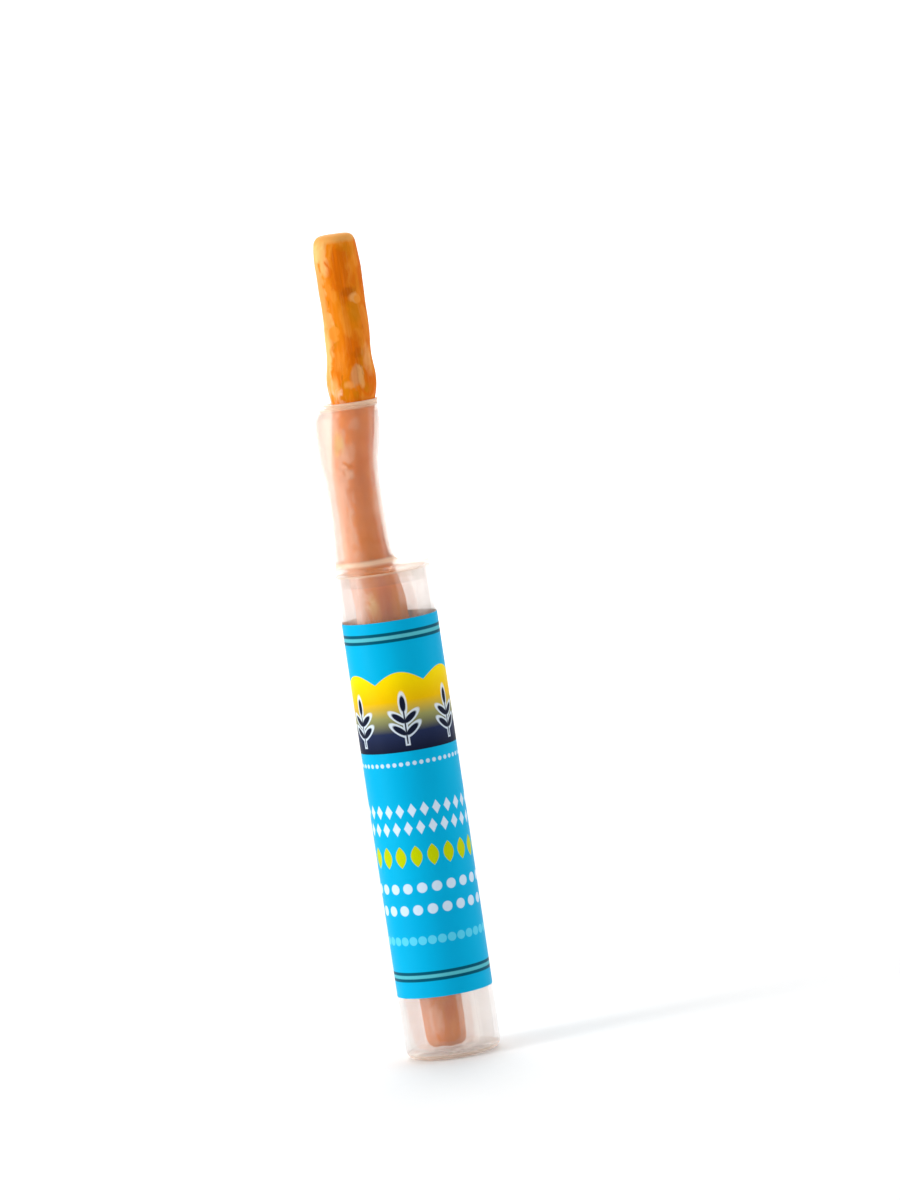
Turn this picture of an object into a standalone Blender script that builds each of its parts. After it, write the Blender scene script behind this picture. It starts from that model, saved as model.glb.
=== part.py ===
"""A miswak stick in its clear holder, for Blender 4.5 (metres, +Z up).

A peeled, crooked chewing stick stands in a clear round tube. A clear collar closes the tube's
mouth, and its off-centre neck grips the stick. A printed film label is wrapped round the tube.
The origin is the centre of the tube's underside. Seen from -Y, the neck stands left of the axis.
"""

import math

import bmesh
import bpy

# The clear tube
TUBE_OUTER_RADIUS = 0.0102
TUBE_WALL = 0.0010
TUBE_TOP = 0.1052
TUBE_FLOOR = 0.0016
TUBE_FOOT_RADIUS = 0.0022
TUBE_INNER_FOOT_RADIUS = 0.0014
TUBE_LIP_RADIUS = 0.0003

# The film label on the tube
LABEL_BOTTOM = 0.0140
LABEL_TOP = 0.0950
LABEL_THICKNESS = 0.0002

# Pieces that touch keep this much air between their meshes
TOUCH_GAP = 0.0003

# The collar: a flange on the tube's mouth, a spigot in it and the neck above it
FLANGE_THICKNESS = 0.0011
FLANGE_EDGE = 0.0002
SPIGOT_LENGTH = 0.0028
SPIGOT_WALL = 0.0007
NECK_WALL = 0.0005
NECK_FILLET_SHARE = 0.34
BORE_FOOT_X = -0.0024
BORE_FOOT_RADIUS = 0.00575

# The neck's outside: height of the section, its centre's x and its radius
NECK_SECTIONS = (
    (0.1087, -0.00350, 0.00630),
    (0.1098, -0.00350, 0.00618),
    (0.1130, -0.00343, 0.00597),
    (0.1185, -0.00338, 0.00584),
    (0.1238, -0.00339, 0.00576),
    (0.1268, -0.00345, 0.00597),
    (0.1294, -0.00344, 0.00631),
    (0.1322, -0.00322, 0.00665),
    (0.1353, -0.00296, 0.00697),
    (0.1372, -0.00281, 0.00699),
    (0.1392, -0.00252, 0.00697),
    (0.1408, -0.00220, 0.00672),
    (0.1416, -0.00180, 0.00632),
    (0.1419, -0.00085, 0.00535),
)
# The lip's hole, which closes in round the stick over the last stretch of the bore
RIM_X = -0.00085
RIM_HOLE_RADIUS = 0.00498
RIM_HOLE_BOTTOM = 0.1409
RIM_HOLE_TOP = 0.1416
BORE_TOP = 0.1401
LIP_SECTIONS = 3

# The stick: height of the section, its centre's x and y, and its mean radius
STICK_TOP = 0.1775
STICK_END_ROUNDING = 0.0020
STICK_FOOT_ROUNDING = 0.0008
STICK_SECTIONS = (
    (0.0019, -0.0011, 0.0002, 0.0042),
    (0.0140, -0.0014, 0.0004, 0.0044),
    (0.0260, -0.0021, -0.0004, 0.0047),
    (0.0400, -0.0029, -0.0009, 0.0045),
    (0.0550, -0.0031, -0.0002, 0.0046),
    (0.0700, -0.0027, 0.0006, 0.0049),
    (0.0850, -0.0016, 0.0009, 0.0053),
    (0.0966, -0.00135, 0.0006, 0.0057),
    (0.1032, -0.0020, 0.0002, 0.0053),
    (0.1085, -0.00288, 0.0000, 0.0048),
    (0.1140, -0.00305, 0.0000, 0.00446),
    (0.1190, -0.00308, 0.0000, 0.00442),
    (0.1240, -0.00309, 0.0000, 0.00444),
    (0.1290, -0.00290, 0.0000, 0.00448),
    (0.1358, -0.00170, -0.0002, 0.00460),
    (0.1416, -0.00080, -0.0001, 0.00460),
    (0.1445, -0.00040, -0.0003, 0.00530),
    (0.1510, -0.00014, -0.0006, 0.00453),
    (0.1550, -0.00003, -0.0004, 0.00462),
    (0.1590, 0.00002, -0.0002, 0.00457),
    (0.1680, 0.00010, 0.0004, 0.00470),
    (0.1775, 0.00019, 0.0006, 0.00445),
)
# Lumps on the wood: height, turn in degrees, how far it stands out, its reach along and across
STICK_KNOTS = (
    (0.0330, 250.0, 0.00060, 0.0040, 40.0),
    (0.0620, 110.0, 0.00060, 0.0045, 45.0),
    (0.0905, 140.0, 0.00045, 0.0040, 45.0),
    (0.1475, 185.0, 0.00055, 0.0030, 45.0),
    (0.1465, 300.0, 0.00035, 0.0022, 30.0),
    (0.1560, 330.0, 0.00035, 0.0030, 35.0),
    (0.1640, 240.0, 0.00030, 0.0026, 35.0),
    (0.1685, 60.0, 0.00045, 0.0035, 45.0),
    (0.1720, 215.0, 0.00030, 0.0030, 40.0),
)
# The section is a little oval and carries a few shallow ridges, which twist up the stick
STICK_OVAL = 0.030
STICK_OVAL_TWIST = 40.0
STICK_RIDGES = 0.016
STICK_RIDGE_COUNT = 5
STICK_RIDGE_TWIST = 55.0
STICK_RIPPLE_TWIST = 160.0
# The neck and the tube's mouth hold the stick here, so its sides are smooth between these heights
GRIP_BOTTOM = 0.1010
GRIP_TOP = 0.1425
GRIP_FADE = 0.0040

# How finely the round shapes are cut
SHARP_DEGREES = 50.0
TURN_STEPS = 48
NECK_SIDES = 36
STICK_SIDES = 24
STICK_STEP = 0.0021
ARC_STEPS = 4


def clear_scene():
    """Removes every object, so that the model starts alone."""
    for item in list(bpy.data.objects):
        bpy.data.objects.remove(item, do_unlink=True)


def add_collection(name):
    """A collection of the given name in the scene."""
    collection = bpy.data.collections.new(name)
    bpy.context.scene.collection.children.link(collection)
    return collection


def add_object(name, mesh, collection):
    """An object for the mesh, at the origin of the given collection."""
    piece = bpy.data.objects.new(name, mesh)
    collection.objects.link(piece)
    return piece


def dress(piece, name, colour, roughness, transmission=0.0):
    """Gives the piece one Principled material of its own; the colour is linear."""
    material = bpy.data.materials.new(name)
    material.use_nodes = True
    shader = material.node_tree.nodes["Principled BSDF"]
    shader.inputs["Base Color"].default_value = (*colour, 1.0)
    shader.inputs["Roughness"].default_value = roughness
    shader.inputs["Metallic"].default_value = 0.0
    shader.inputs["Transmission Weight"].default_value = transmission
    piece.data.materials.append(material)


def arc(centre, radius, start, end):
    """Points on a circle of a profile plane, from one angle to another, in degrees."""
    steps = range(ARC_STEPS + 1)
    angles = [math.radians(start + (end - start) * step / ARC_STEPS) for step in steps]
    return [
        (centre[0] + radius * math.cos(angle), centre[1] + radius * math.sin(angle))
        for angle in angles
    ]


def turned(name, profile, collection, closed=False):
    """A body turned about Z from (radius, height) points that run down its outer side."""
    mesh = bpy.data.meshes.new(name)
    edges = [(i, i + 1) for i in range(len(profile) - 1)]
    if closed:
        edges.append((len(profile) - 1, 0))
    mesh.from_pydata([(radius, 0.0, height) for radius, height in profile], edges, [])
    piece = add_object(name, mesh, collection)
    screw = piece.modifiers.new("Turn", "SCREW")
    screw.steps = TURN_STEPS
    screw.render_steps = TURN_STEPS
    screw.use_smooth_shade = True
    screw.use_merge_vertices = True
    screw.merge_threshold = 0.00001
    return piece


def lofted(name, rings, collection, closed=False):
    """A skin over rings of points: capped at both ends or, when closed, joined end to start."""
    shape = bmesh.new()
    loops = [[shape.verts.new(point) for point in ring] for ring in rings]
    pairs = list(zip(loops, loops[1:]))
    if closed:
        pairs.append((loops[-1], loops[0]))
    for lower, upper in pairs:
        for i, start in enumerate(lower):
            after = (i + 1) % len(lower)
            shape.faces.new((start, lower[after], upper[after], upper[i]))
    if not closed:
        shape.faces.new(loops[0])
        shape.faces.new(loops[-1])
    bmesh.ops.recalc_face_normals(shape, faces=shape.faces)
    mesh = bpy.data.meshes.new(name)
    shape.to_mesh(mesh)
    shape.free()
    mesh.shade_smooth()
    mesh.set_sharp_from_angle(angle=math.radians(SHARP_DEGREES))
    return add_object(name, mesh, collection)


def circle(x, radius, z, sides):
    """A level ring of points about (x, 0, z)."""
    turns = [2 * math.pi * side / sides for side in range(sides)]
    return [(x + radius * math.cos(turn), radius * math.sin(turn), z) for turn in turns]


def smooth_through(sections, height):
    """The values of the sections at a height, on cubic curves through all of them."""
    heights = [section[0] for section in sections]
    last = len(sections) - 2
    i = max((k for k in range(last + 1) if heights[k] <= height), default=0)
    low, high = sections[i], sections[i + 1]
    before = sections[max(i - 1, 0)]
    after = sections[min(i + 2, last + 1)]
    span = high[0] - low[0]
    t = min(max((height - low[0]) / span, 0.0), 1.0)
    values = []
    for k in range(1, len(low)):
        slope_in = (high[k] - before[k]) / (high[0] - before[0]) * span
        slope_out = (after[k] - low[k]) / (after[0] - low[0]) * span
        values.append(
            (2 * t**3 - 3 * t**2 + 1) * low[k]
            + (t**3 - 2 * t**2 + t) * slope_in
            + (3 * t**2 - 2 * t**3) * high[k]
            + (t**3 - t**2) * slope_out
        )
    return values


def make_tube(collection):
    """The clear tube: open at the top, with a flat floor and a rounded foot."""
    outer, inner = TUBE_OUTER_RADIUS, TUBE_OUTER_RADIUS - TUBE_WALL
    foot, well, lip = TUBE_FOOT_RADIUS, TUBE_INNER_FOOT_RADIUS, TUBE_LIP_RADIUS
    profile = [(0.0, TUBE_FLOOR)]
    profile += arc((inner - well, TUBE_FLOOR + well), well, -90, 0)
    profile += arc((inner + lip, TUBE_TOP - lip), lip, 180, 90)
    profile += arc((outer - lip, TUBE_TOP - lip), lip, 90, 0)
    profile += arc((outer - foot, foot), foot, 0, -90)
    profile += [(0.0, 0.0)]
    tube = turned("holder_tube", profile, collection)
    dress(tube, "clear plastic", (0.86, 0.82, 0.79), 0.12, transmission=0.9)


def make_label(collection):
    """The printed film, one layer thick, all the way round the tube."""
    inner = TUBE_OUTER_RADIUS + TOUCH_GAP
    outer = inner + LABEL_THICKNESS
    profile = [
        (outer, LABEL_TOP),
        (outer, LABEL_BOTTOM),
        (inner, LABEL_BOTTOM),
        (inner, LABEL_TOP),
    ]
    label = turned("label", profile, collection, closed=True)
    dress(label, "printed film", (0.002, 0.46, 0.80), 0.30)


def shoulder_ring(share, z):
    """A ring between the neck's foot, at share 0, and the flange's edge, at share 1."""
    _, neck_x, neck_radius = NECK_SECTIONS[0]
    radius = neck_radius + (TUBE_OUTER_RADIUS - FLANGE_EDGE - neck_radius) * share
    return circle(neck_x * (1 - share), radius, z, NECK_SIDES)


def make_collar(collection):
    """The clear collar, as one loop of rings: down its outside, then up through its bore."""
    flange_bottom = TUBE_TOP + TOUCH_GAP
    flange_top = flange_bottom + FLANGE_THICKNESS
    spigot_outer = TUBE_OUTER_RADIUS - TUBE_WALL - TOUCH_GAP
    spigot_inner = spigot_outer - SPIGOT_WALL
    spigot_bottom = TUBE_TOP - SPIGOT_LENGTH
    edge = FLANGE_EDGE

    def ring(x, radius, z):
        return circle(x, radius, z, NECK_SIDES)

    neck = list(reversed(NECK_SECTIONS))
    rings = [ring(x, radius, z) for z, x, radius in neck]
    for step in range(1, ARC_STEPS + 1):
        turn = math.radians(90 * step / ARC_STEPS)
        drop = NECK_SECTIONS[0][0] - flange_top
        share = NECK_FILLET_SHARE * (1 - math.cos(turn))
        rings.append(shoulder_ring(share, flange_top + drop * (1 - math.sin(turn))))
    rings += [
        shoulder_ring(1.0, flange_top),
        ring(0.0, TUBE_OUTER_RADIUS, flange_top - edge),
        ring(0.0, TUBE_OUTER_RADIUS, flange_bottom + edge),
        ring(0.0, TUBE_OUTER_RADIUS - edge, flange_bottom),
        ring(0.0, spigot_outer, flange_bottom),
        ring(0.0, spigot_outer, spigot_bottom + edge),
        ring(0.0, spigot_outer - edge, spigot_bottom),
        ring(0.0, spigot_inner, spigot_bottom),
        ring(0.0, spigot_inner, flange_bottom),
        ring(BORE_FOOT_X, BORE_FOOT_RADIUS, flange_bottom),
    ]
    for z, x, radius in NECK_SECTIONS[:-LIP_SECTIONS]:
        rings.append(ring(x, radius - NECK_WALL, z))
    _, lip_x, lip_radius = NECK_SECTIONS[-LIP_SECTIONS]
    rings += [
        ring(lip_x, lip_radius - NECK_WALL, BORE_TOP),
        ring(RIM_X, RIM_HOLE_RADIUS, RIM_HOLE_BOTTOM),
        ring(RIM_X, RIM_HOLE_RADIUS, RIM_HOLE_TOP),
    ]
    collar = lofted("neck_collar", rings, collection, closed=True)
    dress(collar, "milky plastic", (0.86, 0.80, 0.77), 0.18, transmission=0.85)


def grip_share(z):
    """1 away from where the neck holds the stick, and 0 inside it."""
    below = (GRIP_BOTTOM - z) / GRIP_FADE
    above = (z - GRIP_TOP) / GRIP_FADE
    return min(max(below, above, 0.0), 1.0)


def lump_height(z, degrees):
    """How far the knots lift the wood at a height and a turn."""
    lift = 0.0
    for knot_z, knot_turn, height, along, across in STICK_KNOTS:
        turn = (degrees - knot_turn + 180) % 360 - 180
        lift += height * math.exp(-(((z - knot_z) / along) ** 2) - (turn / across) ** 2)
    return lift


def end_inset(z):
    """How much the stick's rounded ends draw in at a height."""
    inset = 0.0
    ends = (
        (z - (STICK_TOP - STICK_END_ROUNDING), STICK_END_ROUNDING),
        (STICK_SECTIONS[0][0] + STICK_FOOT_ROUNDING - z, STICK_FOOT_ROUNDING),
    )
    for past, rounding in ends:
        if past > 0:
            reach = min(past / rounding, 1.0)
            inset += rounding * (1 - math.sqrt(1 - reach**2))
    return inset


def stick_ring(z):
    """The stick's section at a height: oval, ridged and lumpy."""
    x, y, radius = smooth_through(STICK_SECTIONS, z)
    loose = grip_share(z)
    ring = []
    for side in range(STICK_SIDES):
        degrees = 360 * side / STICK_SIDES
        turn = math.radians(degrees)
        oval = STICK_OVAL * math.cos(2 * turn + STICK_OVAL_TWIST * z)
        ridges = STICK_RIDGES * math.sin(STICK_RIDGE_COUNT * turn + STICK_RIDGE_TWIST * z)
        ridges *= math.sin(2 * turn + STICK_RIPPLE_TWIST * z)
        reach = radius * (1 + loose * (oval + ridges)) + loose * lump_height(z, degrees)
        reach -= end_inset(z)
        ring.append((x + reach * math.cos(turn), y + reach * math.sin(turn), z))
    return ring


def make_stick(collection):
    """The whole stick, one solid from its foot in the tube to its rounded tip."""
    foot = STICK_SECTIONS[0][0]
    heights = [foot, foot + STICK_FOOT_ROUNDING / 3, foot + STICK_FOOT_ROUNDING]
    top_of_sides = STICK_TOP - STICK_END_ROUNDING
    steps = round((top_of_sides - heights[-1]) / STICK_STEP)
    rise = (top_of_sides - heights[-1]) / steps
    heights += [heights[-1] + rise * step for step in range(1, steps + 1)]
    for step in range(1, ARC_STEPS + 1):
        turn = math.radians(90 * step / ARC_STEPS)
        heights.append(top_of_sides + STICK_END_ROUNDING * math.sin(turn))
    stick = lofted("miswak_stick", [stick_ring(z) for z in heights], collection)
    dress(stick, "peeled wood", (0.64, 0.19, 0.02), 0.55)


def main():
    """Builds the four pieces in one collection."""
    clear_scene()
    parts = add_collection("miswak stick")
    make_tube(parts)
    make_label(parts)
    make_collar(parts)
    make_stick(parts)


main()
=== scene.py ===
"""The looks of a miswak stick in its clear holder.

A peeled, crooked chewing stick stands in a clear round tube. A clear collar closes the tube's
mouth, and its off-centre neck grips the stick. A printed film label is wrapped round the tube.
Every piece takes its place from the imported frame, in metres, with +Z up.
"""

import logging
import math
from bisect import bisect_left
from dataclasses import dataclass
from enum import Enum
from typing import Any, Callable, Iterable, Union

import bmesh
import bpy
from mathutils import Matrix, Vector

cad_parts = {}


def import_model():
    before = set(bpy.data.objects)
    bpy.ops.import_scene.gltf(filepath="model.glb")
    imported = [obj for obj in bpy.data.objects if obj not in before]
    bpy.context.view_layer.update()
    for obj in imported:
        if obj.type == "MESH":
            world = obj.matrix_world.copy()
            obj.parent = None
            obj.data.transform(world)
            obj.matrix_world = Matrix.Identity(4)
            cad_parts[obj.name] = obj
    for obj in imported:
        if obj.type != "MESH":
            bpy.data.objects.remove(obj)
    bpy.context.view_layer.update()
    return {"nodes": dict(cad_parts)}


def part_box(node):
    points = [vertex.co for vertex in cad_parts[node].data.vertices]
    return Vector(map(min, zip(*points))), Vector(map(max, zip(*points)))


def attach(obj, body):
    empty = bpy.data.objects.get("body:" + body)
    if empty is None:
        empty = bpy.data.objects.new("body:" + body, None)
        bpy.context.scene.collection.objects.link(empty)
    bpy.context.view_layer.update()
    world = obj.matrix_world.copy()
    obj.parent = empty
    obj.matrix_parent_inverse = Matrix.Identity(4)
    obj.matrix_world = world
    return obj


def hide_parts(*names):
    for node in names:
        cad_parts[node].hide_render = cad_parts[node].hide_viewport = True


LOG = logging.getLogger("miswak_stick")
BODY = "root"
OUTWARD = "outward"
MM_PER_METRE = 1000.0
LEVEL_DIGITS = 5
SAME_LEVEL = 0.00002
SAME_CIRCLE = 0.00005
SOFT_CREASE = 60.0

Colour = tuple[float, float, float, float]
Point = tuple[float, float, float]
Pair = tuple[float, float]
Piece = bpy.types.Object
Material = bpy.types.Material
Socket = bpy.types.NodeSocket
Number = Union["Value", Socket, float]


class Tone(Enum):
    """The colours of the object and its studio, as a display shows them, from 0 to 255."""

    WOOD = (232, 128, 8)
    WOOD_CORE = (222, 107, 0)
    WOOD_OLIVE = (206, 124, 0)
    WOOD_AMBER = (240, 146, 44)
    # Pale wood: fibres and flecks, and the painted highlight on the lit left flank.
    WOOD_PALE = (246, 178, 104)
    # Also in the painted highlight on the lit left flank.
    WOOD_STRAW = (246, 210, 134)
    WOOD_ROSE = (214, 142, 88)
    # Painted shadow in dark streaks on the wood.
    WOOD_BRUISE = (178, 84, 0)
    WOOD_PITH = (96, 46, 8)
    WOOD_SHELTERED = (242, 140, 48)
    # Pinkish wood: blotches, and the painted highlight on the lit left flank inside the holder.
    WOOD_SALMON = (250, 198, 172)
    END_GRAIN = (238, 172, 92)
    # Painted highlight on the plastic's moulded edges.
    PLASTIC = (240, 208, 178)
    PLASTIC_EDGE = (255, 226, 196)
    PLASTIC_CLEAR = (232, 216, 206)
    PAPER_SHADE = (238, 238, 236)
    FILM_CYAN = (0, 180, 225)
    FILM_CYAN_DEEP = (0, 170, 220)
    FILM_BACK = (232, 240, 242)
    INK_TEAL = (0, 84, 108)
    INK_TEAL_LIGHT = (84, 186, 200)
    INK_YELLOW = (252, 226, 0)
    INK_AMBER = (236, 188, 0)
    INK_OLIVE = (150, 150, 92)
    INK_NAVY = (36, 46, 80)
    INK_NAVY_DEEP = (20, 26, 48)
    INK_WHITE = (220, 234, 248)
    INK_GREEN = (192, 206, 0)
    INK_ICE = (96, 212, 240)
    FLOOR = (247, 247, 247)

    @property
    def linear(self) -> Colour:
        """The colour in Blender's linear light, with full alpha."""
        red, green, blue = (to_linear(channel / 255) for channel in self.value)
        return (red, green, blue, 1.0)


def to_linear(shown: float) -> float:
    """Turns one display channel, from 0 to 1, into linear light."""
    if shown <= 0.04045:
        return shown / 12.92
    return ((shown + 0.055) / 1.055) ** 2.4


class Value:
    """A number that changes over a surface: one socket, with arithmetic."""

    def __init__(self, paint: "Paint", socket: Union[Socket, float]) -> None:
        """Wraps a socket of the paint's node tree, or a plain number that stands for one."""
        self.paint = paint
        self.socket = socket

    def math(self, operation: str, *others: Number, clamp: bool = False) -> "Value":
        """Adds one Math node with this value as its first input.

        Args:
            operation: The Math node's operation.
            others: Its further inputs, in order.
            clamp: Whether the result stays between 0 and 1.

        Returns:
            The node's result.
        """
        settings = {"operation": operation, "use_clamp": clamp}
        node = self.paint.node("ShaderNodeMath", settings, dict(enumerate((self, *others))))
        return Value(self.paint, node.outputs[0])

    def __add__(self, other: Number) -> "Value":
        """This value plus another."""
        return self.math("ADD", other)

    __radd__ = __add__

    def __sub__(self, other: Number) -> "Value":
        """This value less another."""
        return self.math("SUBTRACT", other)

    def __rsub__(self, other: float) -> "Value":
        """A number less this value."""
        return Value(self.paint, other) - self

    def __mul__(self, other: Number) -> "Value":
        """This value times another."""
        return self.math("MULTIPLY", other)

    __rmul__ = __mul__

    def __truediv__(self, other: Number) -> "Value":
        """This value divided by another."""
        return self.math("DIVIDE", other)

    def __rtruediv__(self, other: float) -> "Value":
        """A number divided by this value."""
        return Value(self.paint, other) / self

    def __abs__(self) -> "Value":
        """This value without its sign."""
        return self.math("ABSOLUTE")

    def either(self, other: Number) -> "Value":
        """The larger of two values, which joins two masks."""
        return self.math("MAXIMUM", other)

    def both(self, other: Number) -> "Value":
        """The smaller of two values, which keeps what two masks share."""
        return self.math("MINIMUM", other)

    def across(self, other: "Value") -> "Value":
        """How far a point lies from the middle, by two distances at right angles."""
        return (self * self + other * other).math("SQRT")

    def fraction(self) -> "Value":
        """What is left past the last whole number."""
        return self.math("FRACT")

    def below(self, edge: Number, softness: float) -> "Value":
        """A mask that is 1 where this value is under an edge, and 0 past it."""
        return ((edge - self) / softness + 0.5).math("ADD", 0.0, clamp=True)

    def above(self, edge: Number, softness: float) -> "Value":
        """A mask that is 1 where this value is over an edge."""
        return ((self - edge) / softness + 0.5).math("ADD", 0.0, clamp=True)


class Paint:
    """One node material, with a Principled shader at its end."""

    def __init__(self, name: str, ground: Tone) -> None:
        """Starts a material with one colour and, for the rest, Blender's own values.

        Args:
            name: The material's name.
            ground: The colour over which the others are laid.
        """
        self.material = bpy.data.materials.new(name)
        self.material.use_nodes = True
        self.tree = self.material.node_tree
        self.shader = self.tree.nodes["Principled BSDF"]
        self.colour: Union[Tone, Socket] = ground

    def node(self, kind: str, settings: dict[str, Any], inputs: dict[Any, Any]) -> bpy.types.Node:
        """Adds any node.

        Args:
            kind: The node's type.
            settings: Its own settings, which are set first.
            inputs: Values or links for its sockets, by name or by number.

        Returns:
            The new node.
        """
        node = self.tree.nodes.new(kind)
        for name, setting in settings.items():
            setattr(node, name, setting)
        for key, given in inputs.items():
            self.feed(node.inputs[key], given)
        return node

    def feed(self, socket: Socket, given: Any) -> None:
        """Fills an input.

        Args:
            socket: The input.
            given: A value or socket to link to it, or the tone or plain value that it gets.
        """
        if isinstance(given, Value):
            given = given.socket
        if isinstance(given, Socket):
            self.tree.links.new(given, socket)
        else:
            socket.default_value = given.linear if isinstance(given, Tone) else given

    def lay(self, share: Number, over: Union[Tone, Socket]) -> None:
        """Lays a tone or a colour over the colour so far, with a share from 0 to 1."""
        inputs = {0: share, 6: self.colour, 7: over}
        self.colour = self.node("ShaderNodeMix", {"data_type": "RGBA"}, inputs).outputs[2]

    def ramp(self, place: Value, stops: tuple[tuple[float, Tone], ...]) -> Socket:
        """Runs through several colours.

        Args:
            place: How far along the ramp each point lies, from 0 to 1.
            stops: The place and the colour of each stop.

        Returns:
            The colour.
        """
        node = self.node("ShaderNodeValToRGB", {}, {0: place})
        elements = node.color_ramp.elements
        while len(elements) < len(stops):
            elements.new(1.0)
        for element, (position, tone) in zip(elements, stops):
            element.position = position
            element.color = tone.linear
        return node.outputs[0]

    def place(self, kind: str = "Object") -> Socket:
        """The point on the object in metres, or with UV the point on its flat map, from 0 to 1."""
        return self.node("ShaderNodeTexCoord", {}, {}).outputs[kind]

    def split(self, vector: Socket) -> list[Value]:
        """The three numbers of a vector."""
        node = self.node("ShaderNodeSeparateXYZ", {}, {0: vector})
        return [Value(self, output) for output in node.outputs]

    def noise(
        self, vector: Socket, scale: float, detail: float, warp: float = 0.0, upright: float = 1.0
    ) -> Value:
        """Cloudy noise from 0 to 1, mostly near a half.

        Args:
            vector: Where it is read.
            scale: How many of its lumps lie along one unit.
            detail: How many finer layers it has.
            warp: How far its lumps are pulled about.
            upright: The share of the scale that holds along Z, which is low for long streaks.

        Returns:
            The noise.
        """
        if upright != 1.0:
            inputs = {"Vector": vector, "Scale": (1.0, 1.0, upright)}
            vector = self.node("ShaderNodeMapping", {}, inputs).outputs[0]
        inputs = {"Vector": vector, "Scale": scale, "Detail": detail, "Distortion": warp}
        return Value(self, self.node("ShaderNodeTexNoise", {}, inputs).outputs["Fac"])

    def bump(self, height: Value, depth: float, strength: float) -> None:
        """Raises the surface's shading by a height from 0 to 1, times a depth in metres."""
        inputs = {"Height": height, "Distance": depth, "Strength": strength}
        self.feed(self.shader.inputs["Normal"], self.node("ShaderNodeBump", {}, inputs).outputs[0])

    def cover(self, share: Number, tone: Tone, roughness: float) -> None:
        """Lays an opaque finish over the shader.

        Args:
            share: How much of it shows, from 0 to 1.
            tone: Its colour.
            roughness: Its roughness.
        """
        # The plastic lays its painted highlight rings with this finish.
        over = self.node("ShaderNodeBsdfPrincipled", {}, {"Base Color": tone, "Roughness": roughness})
        both = self.node("ShaderNodeMixShader", {}, {0: share, 1: self.shader.outputs[0], 2: over.outputs[0]})
        self.feed(self.tree.nodes["Material Output"].inputs["Surface"], both.outputs[0])

    def finish(self, **sockets: Any) -> Material:
        """Fills the shader's inputs.

        Args:
            sockets: What the inputs get, by their names with underscores for spaces. The base
                colour is the colour so far.

        Returns:
            The finished material.
        """
        for name, given in {"base_color": self.colour, **sockets}.items():
            self.feed(self.shader.inputs[name.replace("_", " ").title().replace("Ior", "IOR")], given)
        return self.material


@dataclass(frozen=True)
class Mark:
    """A patch of another colour on the wood: a knife's flat, a knot, a long strip, a painted highlight or a
    painted shadow.

    It lies at a height in metres, and at a turn in degrees from the front towards +X. Tall and
    wide are half of its height in metres and half of its width in degrees. The edge is its
    softness, as a share of its size.
    """

    height: float
    turn: float
    tall: float
    wide: float
    tone: Tone
    share: float
    edge: float = 0.70

    def mask(self, paint: Paint, height: Value, outward: Socket, torn: Value) -> Value:
        """Draws the patch, with an edge that the grain breaks up.

        Args:
            paint: The wood's paint.
            height: The height above the ground.
            outward: The level direction away from the stick's axis.
            torn: The grain that breaks up the edge.

        Returns:
            How much of the patch shows.
        """
        turn = math.radians(self.turn)
        towards = (math.sin(turn), -math.cos(turn), 0.0)
        facing = paint.node("ShaderNodeVectorMath", {"operation": "DOT_PRODUCT"}, {0: outward, 1: towards})
        around = (1 - Value(paint, facing.outputs["Value"])) * (2 * math.degrees(1.0) ** 2 / self.wide**2)
        along = (height - self.height) / self.tall
        reach = (along * along + around.either(0.0)).math("SQRT")
        return (reach + torn).below(0.95, self.edge) * self.share


@dataclass(frozen=True)
class PeeledWood:
    """Peeled root wood: bright orange where it is bare, and rosier where the holder shelters it.

    The bare wood starts at the rim, the height of the neck's lip, and ends at the tip. The end
    grain's colour reaches down from there by the depth of the cut. The marks, among them painted
    highlights, painted shadows and painted shade, are laid in order.
    """

    rim: float
    tip: float
    marks: tuple[Mark, ...]
    cut_depth: float = 0.0017

    def material(self) -> Material:
        """Builds the wood's nodes.

        Returns:
            The material.
        """
        paint = Paint("peeled wood", Tone.WOOD_CORE)
        place = paint.place()
        height = paint.split(place)[2]
        outward = paint.node("ShaderNodeAttribute", {"attribute_name": OUTWARD}, {}).outputs["Vector"]
        mottle = paint.noise(place, 260.0, 2.5, warp=0.8, upright=0.45)
        drift = paint.noise(place, 150.0, 2.0, warp=0.5, upright=0.20)
        streaks = paint.noise(place, 700.0, 3.0, warp=0.2, upright=0.10)
        fibres = paint.noise(place, 2600.0, 3.0, upright=0.035)
        rough = paint.noise(place, 520.0, 2.0, warp=1.0, upright=0.60)
        pits = paint.noise(place, 1300.0, 1.0, upright=0.28)
        torn = (rough - 0.5) * 1.5 + (mottle - 0.5) * 1.2
        wobble = (streaks - 0.5) * 0.003
        bare = (height + wobble).above(self.rim, 0.0012)
        cut = (height + wobble * 0.3).above(self.tip - self.cut_depth, 0.0007)

        paint.lay(drift.above(0.50, 0.14), Tone.WOOD)
        paint.lay(mottle.above(0.57, 0.10) * 0.7, Tone.WOOD_AMBER)
        paint.lay(mottle.below(0.42, 0.08) * 0.6, Tone.WOOD_OLIVE)
        paint.lay((1 - bare) * 0.55, Tone.WOOD_SHELTERED)
        # The marks include painted highlights, painted shadows and painted shade.
        for mark in self.marks:
            paint.lay(mark.mask(paint, height, outward, torn), mark.tone)
        paint.lay(streaks.below(0.44, 0.10) * 0.22, Tone.WOOD_CORE)
        paint.lay(fibres.above(0.60, 0.14) * 0.10, Tone.WOOD_PALE)
        paint.lay(pits.above(0.745, 0.03) * 0.18, Tone.WOOD_PITH)
        paint.lay(cut * 0.8, Tone.END_GRAIN)

        paint.bump(fibres * 0.35 + streaks * 0.45 + mottle * 0.5, depth=0.00030, strength=0.6)
        return paint.finish(
            roughness=0.46 + streaks * 0.18,
            specular_ior_level=0.05,
            sheen_weight=0.01,
            sheen_roughness=0.40,
            sheen_tint=Tone.WOOD_STRAW,
        )


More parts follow.
